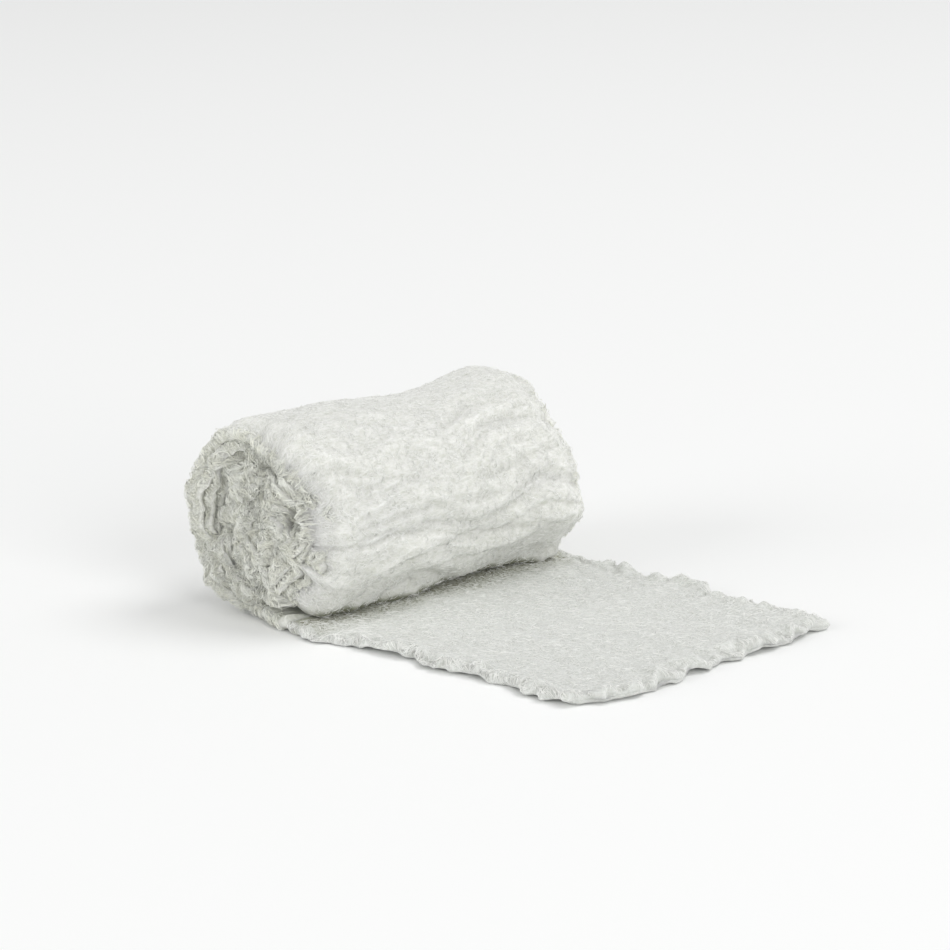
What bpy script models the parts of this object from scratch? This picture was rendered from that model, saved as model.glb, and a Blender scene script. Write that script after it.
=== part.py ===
"""A gauze bandage roll: one long strip of crinkled gauze, loosely wound, its outer end drawn out flat.

+X runs along the loose end, +Y along the roll's axis and +Z up. The part lies on z = 0, with the middle
of its footprint over the origin. All sizes are in metres.
"""

import math

import bmesh
import bpy
from mathutils import Vector, noise

MM = 0.001

# Driving dimensions
CLOTH_WIDTH = 112 * MM  # the strip's width, which is the roll's length
TURN_PITCH = 3.6 * MM  # one turn's thickness, with all its plies
RINGS_PER_TURN = 3  # the roll's grid has this many rings for each turn
RING_COUNT = 28
ROLL_RADIUS = TURN_PITCH * RING_COUNT / RINGS_PER_TURN  # from the axis to the outside of the outer turn
LOOSE_LENGTH = 120 * MM  # the loose end's reach along X, from where it would first touch a hard roll
LOOSE_THICKNESS = 3.0 * MM
PIECE_GAP = 0.35 * MM  # between the loose end and the roll that it runs into

# Patterns of unevenness: each feature has its own. The roll's two ends are one apart.
(
    CREASE_DRIFT,
    CREASE_RIDGES,
    FINE_RELIEF,
    BROAD_RELIEF,
    TURN_DRIFT,
    RIM_SCALLOPS,
    EDGE_LIFTS,
    BROAD_PUFFS,
    SMALL_PUFFS,
    FREE_EDGE,
    SIDE_EDGES,
) = range(2, 57, 5)
PATTERN_STEP = 1.7

# The roll's place and grid
AXIS_X = -7 * MM
ROLL_SHIFT = -5.5 * MM  # the turns have slipped this far along the axis
SINK = 2.6 * MM  # how far the roll's weight flattens it on the surface
AXIS_HEIGHT = ROLL_RADIUS - SINK
SEAM_ANGLE = math.radians(22)  # where the outer turn leaves: from straight down, towards the loose end
COLUMN_COUNT = 58
SIDE_ROW_COUNT = 22
SIDE_ROWS_CROWDED = 0.35  # the share of the side rows' spacing that crowds them towards the ends

# The turns' edges, which show on the roll's ends
GROOVE_DEPTH = 2.4 * MM  # between neighbouring turns
EDGE_UNEVEN = 3.0 * MM  # how far the edges stand in and out
EDGE_SCALE = 8 * MM  # over how far they change
TURN_WANDER = 1.3 * MM  # how far the turns stray from an even spiral
RIM_ROUND = 5.0 * MM  # how far in from its edge the outer turn rounds over
RIM_SHARE = 0.86  # of the radius: outside this the end rounds over into the side
RIM_SCALLOP = 1.3 * MM
SCALLOP_SPACING = 9 * MM

# The side's long creases
CREASE_DEPTH = 1.3 * MM
CREASE_SPACING = 11 * MM
CREASE_STRETCH = 5  # how many times longer than their spacing the creases are
CREASE_WANDER = 6 * MM

# The loose end's grid and edges
LOOSE_COLUMNS = 30
LOOSE_ROWS = 28
LOOSE_SHIFT = 1.2 * MM
LOOSE_TAPER = 3.5 * MM  # how much narrower the strip is at its free edge
EDGE_WAVE = 1.8 * MM  # how far its edges wander in plan
EDGE_WAVE_SPACING = 11 * MM
EDGE_LIFT = 1.4 * MM  # how far small scallops lift its edges off the surface
EDGE_BAND = 9 * MM  # how far in from an edge it lifts
LIP_BAND = 2.4 * MM  # how far in from an edge it thins
LIP_SHARE = 0.45  # of its thickness, left at the very edge
PRESSED = 0.86  # of its thickness, left under the roll's front
PRESSED_SHARE = 0.10  # of its length, which the roll's front presses
PUFF = 0.7 * MM

# Broad swellings of the roll's side. round_deg goes from straight down by the back and over the top.
SWELLINGS = (
    {"along": -26 * MM, "round_deg": 165, "spread": 20 * MM, "spread_deg": 45, "height": 1.4 * MM},
    {"along": 16 * MM, "round_deg": 185, "spread": 22 * MM, "spread_deg": 40, "height": -2.2 * MM},
    {"along": 44 * MM, "round_deg": 172, "spread": 16 * MM, "spread_deg": 40, "height": 2.0 * MM},
    {"along": 58 * MM, "round_deg": 225, "spread": 12 * MM, "spread_deg": 30, "height": -3.4 * MM},
    {"along": -50 * MM, "round_deg": 130, "spread": 18 * MM, "spread_deg": 30, "height": 1.2 * MM},
    {"along": -48 * MM, "round_deg": 48, "spread": 22 * MM, "spread_deg": 22, "height": 3.4 * MM},
    {"along": 50 * MM, "round_deg": 292, "spread": 16 * MM, "spread_deg": 22, "height": 4.0 * MM},
    {"along": 5 * MM, "round_deg": 300, "spread": 30 * MM, "spread_deg": 26, "height": -0.8 * MM},
    {"along": 62 * MM, "round_deg": 178, "spread": 9 * MM, "spread_deg": 36, "height": -2.6 * MM},
)

# Lumps and hollows of the roll's ends. side is -1 for the end at -Y; radius is from the roll's axis.
END_FORMS = (
    {"side": -1, "round_deg": 180, "radius": 23 * MM, "spread": 3.6 * MM, "spread_deg": 48, "out": -4.6 * MM},
    {"side": -1, "round_deg": 285, "radius": 24 * MM, "spread": 4.0 * MM, "spread_deg": 38, "out": -3.2 * MM},
    {"side": -1, "round_deg": 60, "radius": 4 * MM, "spread": 5.0 * MM, "spread_deg": 90, "out": 3.4 * MM},
    {"side": -1, "round_deg": 338, "radius": 14 * MM, "spread": 4.5 * MM, "spread_deg": 22, "out": 3.0 * MM},
    {"side": -1, "round_deg": 190, "radius": 12 * MM, "spread": 5.5 * MM, "spread_deg": 50, "out": 2.2 * MM},
    {"side": -1, "round_deg": 100, "radius": 19 * MM, "spread": 4.5 * MM, "spread_deg": 30, "out": -2.2 * MM},
    {"side": -1, "round_deg": 112, "radius": 31 * MM, "spread": 5.0 * MM, "spread_deg": 26, "out": 3.0 * MM},
    {"side": 1, "round_deg": 150, "radius": 20 * MM, "spread": 5.0 * MM, "spread_deg": 60, "out": -3.4 * MM},
    {"side": 1, "round_deg": 300, "radius": 10 * MM, "spread": 6.0 * MM, "spread_deg": 60, "out": 2.4 * MM},
    {"side": 1, "round_deg": 30, "radius": 17 * MM, "spread": 4.0 * MM, "spread_deg": 50, "out": -2.4 * MM},
)

# Bulges of the loose end's edges in plan. near is the edge at -Y, and at goes along the edge.
EDGE_BULGES = (
    {"edge": "near", "at": 16 * MM, "spread": 11 * MM, "out": 3.2 * MM},
    {"edge": "near", "at": 64 * MM, "spread": 11 * MM, "out": 2.4 * MM},
    {"edge": "near", "at": 104 * MM, "spread": 7 * MM, "out": 2.4 * MM},
    {"edge": "far", "at": 68 * MM, "spread": 6 * MM, "out": 3.4 * MM},
    {"edge": "far", "at": 52 * MM, "spread": 7 * MM, "out": -2.6 * MM},
    {"edge": "far", "at": 104 * MM, "spread": 14 * MM, "out": 3.2 * MM},
    {"edge": "free", "at": -30 * MM, "spread": 16 * MM, "out": 2.6 * MM},
    {"edge": "free", "at": 34 * MM, "spread": 9 * MM, "out": 1.6 * MM},
)

# Places where the loose end's edges stand off the surface. x and y are before the part is centred.
LIFTED_EDGES = (
    {"x": 40 * MM, "y": -55 * MM, "spread": 9 * MM, "lift": 2.4 * MM},
    {"x": 61 * MM, "y": -55 * MM, "spread": 4 * MM, "lift": 1.6 * MM},
    {"x": 93 * MM, "y": -55 * MM, "spread": 6 * MM, "lift": 2.2 * MM},
    {"x": 108 * MM, "y": -56 * MM, "spread": 5 * MM, "lift": 2.6 * MM},
    {"x": 118 * MM, "y": -38 * MM, "spread": 7 * MM, "lift": 2.0 * MM},
    {"x": 118 * MM, "y": -6 * MM, "spread": 6 * MM, "lift": 1.8 * MM},
    {"x": 118 * MM, "y": 24 * MM, "spread": 5 * MM, "lift": 2.4 * MM},
    {"x": 118 * MM, "y": 46 * MM, "spread": 5 * MM, "lift": 1.6 * MM},
    {"x": 62 * MM, "y": 54 * MM, "spread": 6 * MM, "lift": 2.8 * MM},
    {"x": 22 * MM, "y": 55 * MM, "spread": 7 * MM, "lift": 1.6 * MM},
)


def rough(x, y, pattern, scale):
    """Smooth unevenness from about -1 to 1 that changes over the given scale."""
    return 1.6 * noise.noise(Vector((x / scale, y / scale, PATTERN_STEP * pattern)))


def smooth_step(low, high, value):
    share = min(1, max(0, (value - low) / (high - low)))
    return share * share * (3 - 2 * share)


def nearness(turn_deg, spread_deg, away, spread):
    """From 1 at a bump's middle to 0 well away from it, over an angle and a distance."""
    turn_deg = (turn_deg + 180) % 360 - 180
    return math.exp(-((turn_deg / spread_deg) ** 2) - (away / spread) ** 2)


def swelling(angle, along):
    """How far the roll's side stands out of its plain spiral at an angle and a place along the axis."""
    total = 0
    for bump in SWELLINGS:
        turn, away = math.degrees(angle) - bump["round_deg"], along - bump["along"]
        total += bump["height"] * nearness(turn, bump["spread_deg"], away, bump["spread"])
    return total


def off_seam(angle):
    """0 where the outer turn leaves the roll, and 1 well away from there."""
    return math.sin(0.5 * angle) ** 2


def crease(angle, along):
    """Long soft creases that run along the roll and wander round it; none where it meets the loose end."""
    round_it = angle * ROLL_RADIUS
    round_it += CREASE_WANDER * rough(round_it, along, CREASE_DRIFT, 3.5 * CREASE_SPACING)
    ridge = rough(round_it, along / CREASE_STRETCH, CREASE_RIDGES, CREASE_SPACING)
    return CREASE_DEPTH * ridge * smooth_step(0.10, 0.35, off_seam(angle))


def edge_relief(angle, radius, ring, side):
    """How far the turns' edges stand out of the roll's end at a point, along the axis."""
    across = radius / ROLL_RADIUS
    x, z = radius * math.sin(angle), radius * math.cos(angle)
    fine = rough(x, z, FINE_RELIEF + side, EDGE_SCALE)
    broad = rough(x, z, BROAD_RELIEF + side, 2 * EDGE_SCALE)
    forms = 0
    for form in END_FORMS:
        if form["side"] == side:
            turn, away = math.degrees(angle) - form["round_deg"], radius - form["radius"]
            forms += form["out"] * nearness(turn, form["spread_deg"], away, form["spread"])
    groove = GROOVE_DEPTH if ring % RINGS_PER_TURN == 0 and 0 < ring < RING_COUNT else 0
    rim = RIM_ROUND * max(0, (across - RIM_SHARE) / (1 - RIM_SHARE)) ** 2
    return EDGE_UNEVEN * (fine + 0.6 * broad) * (1 - 0.6 * across**4) + forms - groove - rim


def wound_point(turned, row):
    """A point of the roll. turned goes from 0 to 1 once round, and row from the middle of one end, over
    the side, to the middle of the other end."""
    angle = 2 * math.pi * turned - SEAM_ANGLE
    last_row = 2 * RING_COUNT + SIDE_ROW_COUNT
    ring = min(row, RING_COUNT, last_row - row)
    side = -1 if row <= RING_COUNT else 1
    radius = max(0, ring * TURN_PITCH / RINGS_PER_TURN - TURN_PITCH * turned)
    half = CLOTH_WIDTH / 2
    if RING_COUNT < row < last_row - RING_COUNT:
        share = (row - RING_COUNT) / SIDE_ROW_COUNT
        even = 2 * share - 1
        along = half * (even + SIDE_ROWS_CROWDED * (-math.cos(math.pi * share) - even))
    else:
        along = side * (half + edge_relief(angle if radius else 0, radius, ring, side))
    across = radius / ROLL_RADIUS
    x, z = radius * math.sin(angle), radius * math.cos(angle)
    wander = TURN_WANDER * rough(x, z, TURN_DRIFT + side, 13 * MM) * math.sin(math.pi * across) ** 2
    at_rim = min(1, max(0, abs(along) - half + RIM_ROUND) / RIM_ROUND)
    scallop = rough(angle * ROLL_RADIUS, 0, RIM_SCALLOPS + side, SCALLOP_SPACING) * at_rim * off_seam(angle)
    radius += (swelling(angle, along) + crease(angle, along) + RIM_SCALLOP * scallop) * across**2 + wander
    height = AXIS_HEIGHT - radius * math.cos(angle)
    return Vector((AXIS_X - radius * math.sin(angle), ROLL_SHIFT + along, max(0, height)))


def wound_roll():
    """The roll as one solid: a grid wrapped once round, whose rings run inwards as the strip does, so
    that each end shows the spiral of the turns' edges, with a step where the outer turn leaves."""
    mesh = bmesh.new()
    rows = 2 * RING_COUNT + SIDE_ROW_COUNT
    bmesh.ops.create_grid(mesh, x_segments=COLUMN_COUNT, y_segments=rows, size=1)
    first, last = {}, {}
    for vert in mesh.verts:
        turned, row = (vert.co.x + 1) / 2, round((vert.co.y + 1) / 2 * rows)
        vert.co = wound_point(turned, row)
        if turned < 1e-4:
            first[row] = vert
        if turned > 1 - 1e-4:
            last[row] = vert
    # The step: a wall from the outer turn's end down to the turn beneath it
    for row in range(RING_COUNT, rows - RING_COUNT):
        mesh.faces.new((first[row], first[row + 1], last[row + 1], last[row]))
    bmesh.ops.remove_doubles(mesh, verts=mesh.verts, dist=1e-6)
    open_edges = [edge for edge in mesh.edges if edge.is_boundary]
    bmesh.ops.holes_fill(mesh, edges=open_edges, sides=0)
    bmesh.ops.dissolve_degenerate(mesh, edges=mesh.edges, dist=1e-6)
    bmesh.ops.recalc_face_normals(mesh, faces=mesh.faces)
    return as_object("wound_roll", mesh)


def edge_bulge(edge, at):
    """How far one of the loose end's edges bulges outwards at a place along it."""
    rows = [row for row in EDGE_BULGES if row["edge"] == edge]
    return sum(row["out"] * math.exp(-(((at - row["at"]) / row["spread"]) ** 2)) for row in rows)


def loose_point(along, across, on_top):
    """A point of the loose end. along goes from 0 at the roll to 1 at the free edge, and across from 0 to
    1 over the strip. The edges wander in plan, lift in scallops and thin to a soft lip."""
    start = AXIS_X + ROLL_RADIUS * math.sin(SEAM_ANGLE) + PIECE_GAP
    side = 2 * across - 1
    x = start + along * (LOOSE_LENGTH - start)
    y = 0.5 * side * (CLOTH_WIDTH - LOOSE_TAPER * along) + LOOSE_SHIFT
    off_roll = smooth_step(0, PRESSED_SHARE, along)
    inset = min((1 - along) * LOOSE_LENGTH, across * CLOTH_WIDTH, (1 - across) * CLOTH_WIDTH)
    near_edge = (1 - smooth_step(0, EDGE_BAND, inset)) * off_roll
    raised = sum(
        place["lift"] * math.exp(-(math.hypot(x - place["x"], y - place["y"]) / place["spread"]) ** 2)
        for place in LIFTED_EDGES
    )
    lift = (EDGE_LIFT * max(0, rough(x, y, EDGE_LIFTS, EDGE_BAND)) + raised) * near_edge
    puffs = rough(x, y, BROAD_PUFFS, 24 * MM) + 0.5 * rough(x, y, SMALL_PUFFS, 9 * MM)
    thickness = LOOSE_THICKNESS * (PRESSED + (1 - PRESSED) * off_roll) + PUFF * puffs * off_roll
    rounded = math.sqrt(1 - (1 - min(1, inset / LIP_BAND)) ** 2)
    thickness *= LIP_SHARE + (1 - LIP_SHARE) * rounded
    to_free_edge, to_side_edge = along**4, abs(side) ** 7 * off_roll
    bulge = edge_bulge("far", x) if side > 0 else -edge_bulge("near", x)
    x += (EDGE_WAVE * rough(y, 0, FREE_EDGE, EDGE_WAVE_SPACING) + edge_bulge("free", y)) * to_free_edge
    y += (EDGE_WAVE * rough(x, 0, SIDE_EDGES + round(side), EDGE_WAVE_SPACING) + bulge) * to_side_edge
    return Vector((x, y, lift + thickness if on_top else lift))


def loose_end():
    """The strip's drawn out end as one sheet, flat on the surface but for its lifted edges."""
    mesh = bmesh.new()
    bmesh.ops.create_grid(mesh, x_segments=LOOSE_COLUMNS, y_segments=LOOSE_ROWS, size=1)
    bmesh.ops.solidify(mesh, geom=mesh.faces[:], thickness=1)
    middle = sum(vert.co.z for vert in mesh.verts) / len(mesh.verts)
    for vert in mesh.verts:
        vert.co = loose_point((vert.co.x + 1) / 2, (vert.co.y + 1) / 2, vert.co.z > middle)
    bmesh.ops.recalc_face_normals(mesh, faces=mesh.faces)
    return as_object("loose_end", mesh)


def gauze(name, colour):
    """Bleached cotton gauze: near white, matt and not metallic."""
    material = bpy.data.materials.new(name)
    material.use_nodes = True
    shader = material.node_tree.nodes["Principled BSDF"]
    shader.inputs["Base Color"].default_value = (*colour, 1)
    shader.inputs["Roughness"].default_value = 0.95
    shader.inputs["Metallic"].default_value = 0
    return material


def as_object(name, mesh):
    data = bpy.data.meshes.new(name)
    mesh.to_mesh(data)
    mesh.free()
    data.shade_smooth()
    data.set_sharp_from_angle(angle=math.radians(50))
    made = bpy.data.objects.new(name, data)
    bpy.context.scene.collection.objects.link(made)
    return made


def centre_over_origin(pieces):
    """Moves the pieces together, so that the middle of their footprint is over the origin."""
    corners = [vert.co for piece in pieces for vert in piece.data.vertices]
    for axis in (0, 1):
        places = [corner[axis] for corner in corners]
        middle = (min(places) + max(places)) / 2
        for piece in pieces:
            piece.location[axis] = -middle


def main():
    for old in list(bpy.data.objects):
        bpy.data.objects.remove(old)
    roll, end = wound_roll(), loose_end()
    roll.data.materials.append(gauze("roll_gauze", (0.82, 0.83, 0.80)))
    end.data.materials.append(gauze("loose_gauze", (0.80, 0.82, 0.79)))
    centre_over_origin((roll, end))


main()
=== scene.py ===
import itertools
import math

import bmesh
import bpy
import numpy as np
from mathutils import Matrix, Vector
from mathutils.bvhtree import BVHTree


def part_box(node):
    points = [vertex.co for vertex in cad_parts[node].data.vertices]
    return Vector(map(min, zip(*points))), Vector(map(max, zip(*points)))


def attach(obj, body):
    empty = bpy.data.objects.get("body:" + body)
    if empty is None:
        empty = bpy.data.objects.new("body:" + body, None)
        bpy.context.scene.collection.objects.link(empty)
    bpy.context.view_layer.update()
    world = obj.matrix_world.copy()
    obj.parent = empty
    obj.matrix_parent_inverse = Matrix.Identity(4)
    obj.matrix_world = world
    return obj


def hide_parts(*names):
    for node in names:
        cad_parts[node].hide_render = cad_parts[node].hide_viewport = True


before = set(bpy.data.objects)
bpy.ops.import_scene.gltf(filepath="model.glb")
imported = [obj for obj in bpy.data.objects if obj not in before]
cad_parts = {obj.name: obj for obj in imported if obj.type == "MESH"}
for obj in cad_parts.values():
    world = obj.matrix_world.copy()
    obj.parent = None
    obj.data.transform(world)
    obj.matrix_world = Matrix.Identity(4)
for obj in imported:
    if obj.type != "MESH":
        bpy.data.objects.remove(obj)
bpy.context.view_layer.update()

# A gauze bandage roll: one strip of crinkled gauze. Its turns are one long spiral sheet, split into the
# inner turns and the outer one, and its outer end lies flat. Crimped yarns stand out of all of it.
# Lengths are in metres. A turn counts from the line where the outer turn leaves the loose end: it goes
# back under the roll, up behind it, over the top and down the front.

def unevenness(places, scale, pattern):
    # smooth noise, mostly within -1 to 1, with about two scales from crest to crest
    dice = np.random.default_rng(pattern)
    order = dice.permutation(256)
    slopes = 2.2 * dice.normal(size=(256, 3))
    spots = np.asarray(places) / scale + 40.3
    cell = np.floor(spots).astype(int)
    part = spots - cell
    fade = part * part * (3 - 2 * part)
    total = 0
    for corner in itertools.product((0, 1), repeat=3):
        key = order[(cell[..., 0] + corner[0]) & 255]
        key = order[(key + cell[..., 1] + corner[1]) & 255]
        key = order[(key + cell[..., 2] + corner[2]) & 255]
        weight = np.prod(np.where(corner, fade, 1 - fade), axis=-1)
        total = total + weight * np.sum(slopes[key] * (part - corner), axis=-1)
    return total


def lined(along, across=0, third=0):
    # three numbers for each place, for the noise
    return np.stack(np.broadcast_arrays(along, across, third), axis=-1).astype(float)


def smoothStep(low, high, value):
    share = np.clip((value - low) / (high - low), 0, 1)
    return share * share * (3 - 2 * share)


def castTable(node, starts, direction):
    # how far it is from each start to the solid; a miss takes its neighbour's distance
    tree = BVHTree.FromObject(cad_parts[node], bpy.context.evaluated_depsgraph_get())
    direction = np.broadcast_to(direction, starts.shape)
    table = np.full(starts.shape[:2], np.nan)
    for spot in np.ndindex(table.shape):
        hit = tree.ray_cast(Vector(starts[spot]), Vector(direction[spot]))
        if hit[0]:
            table[spot] = hit[3]
    for row in table:
        known = np.flatnonzero(~np.isnan(row))
        if len(known):
            row[:] = np.interp(np.arange(len(row)), known, row[known])
    return table


def soften(table, times, columnsToo=True):
    for _ in range(times):
        padded = np.pad(table, 1, mode="edge")
        table = 0.25 * padded[:-2, 1:-1] + 0.5 * padded[1:-1, 1:-1] + 0.25 * padded[2:, 1:-1]
        if columnsToo:
            padded = np.pad(table, 1, mode="edge")
            table = 0.25 * padded[1:-1, :-2] + 0.5 * padded[1:-1, 1:-1] + 0.25 * padded[1:-1, 2:]
    return table


def readTable(table, down, across):
    # the table's value at shares of its height and width, between its entries too
    rows, columns = table.shape
    y = np.clip(down, 0, 1) * (rows - 1)
    x = np.clip(across, 0, 1) * (columns - 1)
    i = np.minimum(y.astype(int), rows - 2)
    j = np.minimum(x.astype(int), columns - 2)
    y, x = y - i, x - j
    upper = table[i, j] * (1 - x) + table[i, j + 1] * x
    lower = table[i + 1, j] * (1 - x) + table[i + 1, j + 1] * x
    return upper * (1 - y) + lower * y


# the roll's form, read from the frame

rollForm = {
    "turnPitch": 0.0036,
    "innerPitch": 0.0021,  # the inner turns are wound closer
    "looseTurns": 2,  # these many turns have the wider pitch
    "radius": 0.0336,
    "axisHeight": 0.0310,
    "seamDegrees": 22,  # where the outer turn leaves, from straight down towards the loose end
    "gapToLooseEnd": 0.00035,
    "innermostRadius": 0.0016,
    "halfWidth": 0.060,  # half of the strip's width, along the cloth
    "edgeWrap": 0.0026,  # how far over the cloth, from the middle of its edge, the edge is finely divided
}
reading = {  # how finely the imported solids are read
    "turnShares": 121,
    "turnInset": 0.004,
    "sideColumns": 80,
    "endColumns": 29,
    "edgePlaces": 120,
    "loosePlaces": 90,
    "heightStep": 0.0007,
}
rollLow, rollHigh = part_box("wound_roll")
looseLow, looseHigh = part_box("loose_end")
seamAngle = math.radians(rollForm["seamDegrees"])
axisX = looseLow.x - rollForm["gapToLooseEnd"] - rollForm["radius"] * math.sin(seamAngle)
rollMiddle = (rollLow.y + rollHigh.y) / 2
onceAround = 2 * np.pi * rollForm["radius"]


def outsideOf(turn):
    # the radius of the strip's outer face in an even spiral
    wide = rollForm["turnPitch"] * np.minimum(turn, rollForm["looseTurns"])
    return rollForm["radius"] - wide - rollForm["innerPitch"] * np.maximum(turn - rollForm["looseTurns"], 0)


def thicknessOf(turn):
    return outsideOf(turn) - outsideOf(turn + 1)


def lengthTo(turn):
    # how much of the strip is wound by a turn
    loose = np.minimum(turn, rollForm["looseTurns"])
    close = np.maximum(turn - rollForm["looseTurns"], 0)
    lost = rollForm["turnPitch"] * (loose ** 2 / 2 + rollForm["looseTurns"] * close)
    return 2 * np.pi * (rollForm["radius"] * turn - lost - rollForm["innerPitch"] * close ** 2 / 2)


closeRadius = float(outsideOf(rollForm["looseTurns"]))
turnCount = rollForm["looseTurns"] + (closeRadius - rollForm["innermostRadius"]) / rollForm["innerPitch"]


def outwards(turn):
    # the direction out of the roll's axis
    angle = 2 * np.pi * turn - seamAngle
    return np.stack([-np.sin(angle), 0 * angle, -np.cos(angle)], axis=-1)


def fromAxis(turn, y, radius):
    axis = np.stack(np.broadcast_arrays(axisX, y, rollForm["axisHeight"] + 0 * turn), axis=-1)
    return axis + outwards(turn) * np.asarray(radius)[..., None]


def onceRound(columns):
    # turns once round the roll for the rows of a table, and its columns
    inset = reading["turnInset"]
    return np.meshgrid(np.linspace(inset, 1 - inset, reading["turnShares"]), columns, indexing="ij")


def readSide():
    # the radius of the roll's side, once round (down the table) and from end to end (across it)
    reach = 0.06
    turn, y = onceRound(np.linspace(rollLow.y, rollHigh.y, reading["sideColumns"]))
    table = reach - castTable("wound_roll", fromAxis(turn, y, reach + 0 * turn), -outwards(turn))
    return soften(table, 2)


def readEnd(side):
    # how far out an end of the roll stands, once round and from its middle to its rim
    reach = 0.1
    turn, radius = onceRound(np.linspace(0, rollForm["radius"], reading["endColumns"]))
    starts = fromAxis(turn, side * reach + 0 * turn, radius)
    table = reach - castTable("wound_roll", starts, (0, -side, 0))  # the distance from y = 0, on either side
    # three steps are one turn, so the mean of three evens its groove out
    padded = np.pad(table, ((0, 0), (1, 1)), mode="edge")
    return soften((padded[:, :-2] + padded[:, 1:-1] + padded[:, 2:]) / 3, 2, columnsToo=False)


print("reading the frame")
sideTable = readSide()
endTables = {side: readEnd(side) for side in (-1, 1)}

# the loose end's outline

looseForm = {
    "columns": 190,
    "faceStep": 0.00064,
    "backSteps": 24,
    "inset": 0.0026,  # where its thickness is read, in from its edges
    "edgeWrap": 0.0023,  # about how much cloth is rounded over at an edge
    "scallop": 0.0010,
    "smallScallop": 0.0002,
    "edgePuff": 0.0009,
    "edgeSwell": 0.30,  # how far its edges' thickness varies, as a share of it
    "edgeLift": 0.0006,
    "farCalm": 0.5,  # how much of that lift its far edge has
    "nearCorner": 0.0060,  # how much further out the near edge runs where it goes under the roll
    "edgeBand": 0.010,
    "joined": 0.12,  # the share of its length over which it thickens to the outer turn that it goes on as
    "felt": 0.00008,
    "crumb": 0.00005,
}
looseMiddle = (looseLow.y + looseHigh.y) / 2
looseHalf = (looseHigh.y - looseLow.y) / 2
looseLength = looseHigh.x - looseLow.x
# where its side edges and its free edge are read
edgeX = np.linspace(looseLow.x + 0.0002, looseHigh.x - 0.005, reading["edgePlaces"])
edgeY = np.linspace(looseLow.y + 0.005, looseHigh.y - 0.005, reading["edgePlaces"])


def readOutline():
    # the places of the loose end's side edges along X, and of its free edge along Y
    sideReach, freeReach = 0.1, 0.15
    heights = np.arange(0.0006, looseHigh.z, reading["heightStep"])
    x, z = np.meshgrid(edgeX, heights, indexing="ij")
    outline = {}
    for side in (-1, 1):
        starts = np.stack([x, np.full_like(x, side * sideReach), z], axis=-1)
        outline[side] = side * (sideReach - castTable("loose_end", starts, (0, -side, 0)).min(axis=1))
    y, z = np.meshgrid(edgeY, heights, indexing="ij")
    starts = np.stack([np.full_like(y, freeReach), y, z], axis=-1)
    outline["free"] = freeReach - castTable("loose_end", starts, (-1, 0, 0)).min(axis=1)
    return outline


outline = readOutline()


def sideEdge(x, side):
    edge = np.interp(x, edgeX, outline[side])
    return edge - looseForm["nearCorner"] * (side < 0) * smoothStep(0.045, 0, x - looseLow.x)


def freeEdge(y):
    return np.interp(y, edgeY, outline["free"])


# the roll's edges and creases

edges = {
    "lumps": 0.0015,  # how far neighbouring turns' edges stray together in and out of the end
    "wander": 0.0004,  # how far each strays by itself
    "ruffle": 0.00045,
    "frill": 0.24,  # how far an edge bends towards the axis and away, as a share of the cloth's thickness
    "drift": 0.0013,  # how far the turns stray from an even spiral
    "reach": 0.0045,  # how far in from an edge it bends
    "evenPuff": 0.14,  # how much thicker than its pitch the cloth is at its edges
    "puff": 0.25,  # and how far that varies
    "leastPuff": 0.03,
    "backPuff": 0.5,  # how much thicker still at the roll's back, where the turns' edges close up
    "roundness": 0.32,  # how far out an inner turn's edge is rounded, as a share of half its thickness
    "rimDrop": 0.0020,  # how much lower the roll's side is at its rims
    "lipDrop": 0.0147,  # how far the near end's rim curls in towards the axis, over the top and the front
    "lipReach": 0.0080,
    "lipCloth": 0.0103,  # how much of the cloth's width goes round the curl
    "lipMore": (1.0, 0.58),  # how much further in it curls down the front, and how much more cloth that takes
    "lipTurns": (0.45, 0.60, 0.96, 1.10),  # it starts, is whole, starts to fade and is gone
    "lipDegrees": 58,  # how far it turns
    "lipThinning": 0.45,  # how much thinner the cloth is in it
    "lipCover": 0.0014,  # how thick the lip is over the turns that end behind it
    "readTo": 0.84,  # the ends' form is read out to this share of the radius, where the solid rounds over
    "outerCalm": 0.45,  # how much of the edges' straying and frill the outer turn has
    "shiftTurn": 0.12,  # by where the outer turn has come from the loose end's edges to the roll's
}
creases = {
    "drift": 0.005,  # how far a crease strays from straight along the roll
    "lumps": 0.00017,
    "sag": 0.0028,  # how far the outer turn bulges where it comes down to the loose end
    "sagTurn": 0.966,
    "sagWidth": 0.022,
    "broad": 0.00068,
    "middle": 0.00045,
    "fine": 0.00009,
    "crumb": 0.00003,
}
folds = {
    "width": 0.0013,
    "stray": 0.0009,
    # down the roll's front: the turn and the place along Y where each starts, the same where it ends, and
    # its depth
    "lines": (
        (0.826, -0.054, 0.822, -0.014, 0.0007),
        (0.892, -0.038, 0.862, -0.008, 0.0011),
        (0.862, -0.010, 0.857, 0.016, 0.0010),
        (0.857, 0.012, 0.866, 0.048, 0.0009),
        (0.905, -0.020, 0.893, 0.030, 0.0009),
        (0.790, -0.020, 0.800, 0.020, 0.0007),
        (0.770, 0.010, 0.735, 0.050, 0.0007),
        (0.745, -0.045, 0.725, -0.010, 0.0006),
        (0.690, 0.0, 0.660, 0.045, 0.0006),
    ),
}
# the roll's rim stands further out than an even one here: the end, the turn, how far round it reaches,
# how far out along the roll and how far out from the axis
rimForms = (
    (1, 0.88, 0.10, 0.0024, 0.0018),
    (1, 0.55, 0.12, 0.0030, 0.0008),
    (1, 0.94, 0.05, 0.0022, 0.0010),
    (-1, 0.45, 0.075, 0.0, 0.0030),
    (-1, 0.32, 0.07, 0.0006, 0.0012),
    (-1, 0.25, 0.035, 0.0026, 0.0),
    (-1, 0.16, 0.04, 0.0012, 0.0),
    (-1, 0.085, 0.06, -0.0080, 0.0),
)


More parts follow.
